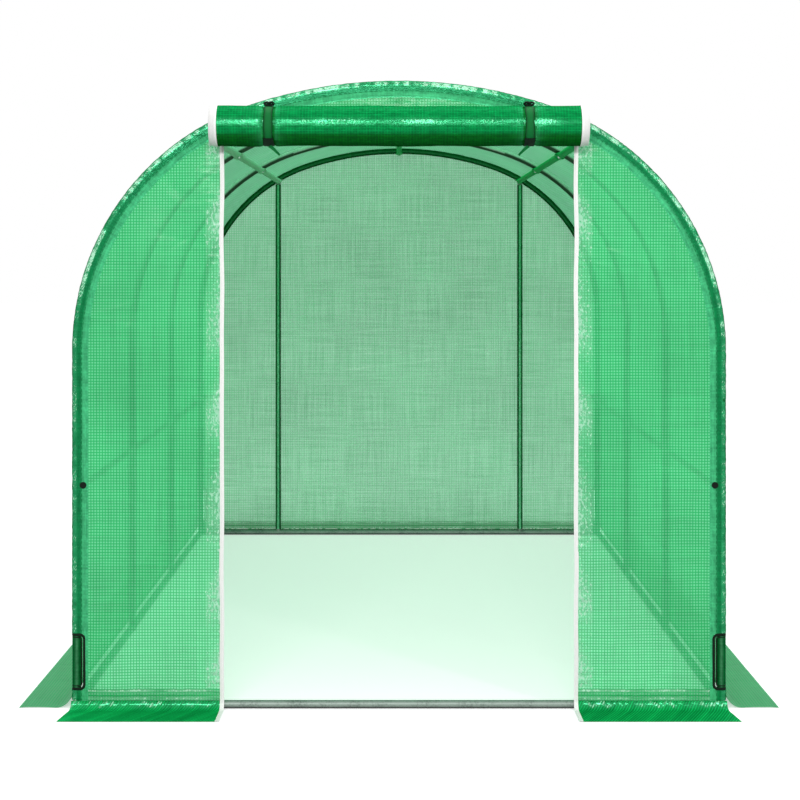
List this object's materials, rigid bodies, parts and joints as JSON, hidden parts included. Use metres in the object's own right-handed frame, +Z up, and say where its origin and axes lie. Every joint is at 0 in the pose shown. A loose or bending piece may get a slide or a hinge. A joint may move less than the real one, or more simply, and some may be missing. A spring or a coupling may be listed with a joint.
{
  "type": "polytunnel greenhouse",
  "caption": "Walk-in tunnel greenhouse: steel tube hoops under a green mesh film cover, with a ground skirt and a zipped door rolled up over the doorway.",
  "frame": {"origin": "on the ground, at the middle of the plan", "axes": "+Z up, -Y out of the doorway, +X to the right of someone who looks in at the doorway"},
  "size_m": [2.326, 3.2931, 1.919],
  "materials": {
    "mesh_film": "thin reinforced film, slightly glossy",
    "hem_film": "doubled film, slightly glossy",
    "zip_tape": "woven tape",
    "tie_webbing": "woven tape",
    "plug_plastic": "moulded",
    "galvanised_tube": "galvanised"
  },
  "bodies": {
    "root": {"crown_sheet": "mesh_film", "door_roll": "mesh_film", "front_base_rail": "galvanised_tube", "front_hem": "hem_film", "front_hoop_crown": "galvanised_tube", "front_hoop_legs": "galvanised_tube", "front_hoop_shoulders": "galvanised_tube", "front_panel_left": "mesh_film", "front_panel_right": "mesh_film", "front_panel_top": "mesh_film", "front_skirt_left": "mesh_film", "front_skirt_right": "mesh_film", "left_base_rail": "galvanised_tube", "left_purlin": "galvanised_tube", "left_shoulder_sheet": "mesh_film", "left_side_rail": "galvanised_tube", "left_skirt": "mesh_film", "left_wall_sheet": "mesh_film", "left_zip": "zip_tape", "rail_end_plugs": "plug_plastic", "rear_base_rail": "galvanised_tube", "rear_hem": "hem_film", "rear_hoop_crown": "galvanised_tube", "rear_hoop_legs": "galvanised_tube", "rear_hoop_shoulders": "galvanised_tube", "rear_panel": "mesh_film", "rear_posts": "galvanised_tube", "rear_skirt": "mesh_film", "ridge_purlin": "galvanised_tube", "right_base_rail": "galvanised_tube", "right_purlin": "galvanised_tube", "right_shoulder_sheet": "mesh_film", "right_side_rail": "galvanised_tube", "right_skirt": "mesh_film", "right_wall_sheet": "mesh_film", "right_zip": "zip_tape", "roll_ties": "tie_webbing", "roll_zip_ends": "zip_tape", "second_hoop_crown": "galvanised_tube", "second_hoop_legs": "galvanised_tube", "second_hoop_shoulders": "galvanised_tube", "third_hoop_crown": "galvanised_tube", "third_hoop_legs": "galvanised_tube", "third_hoop_shoulders": "galvanised_tube"}
  },
  "joints": []
}
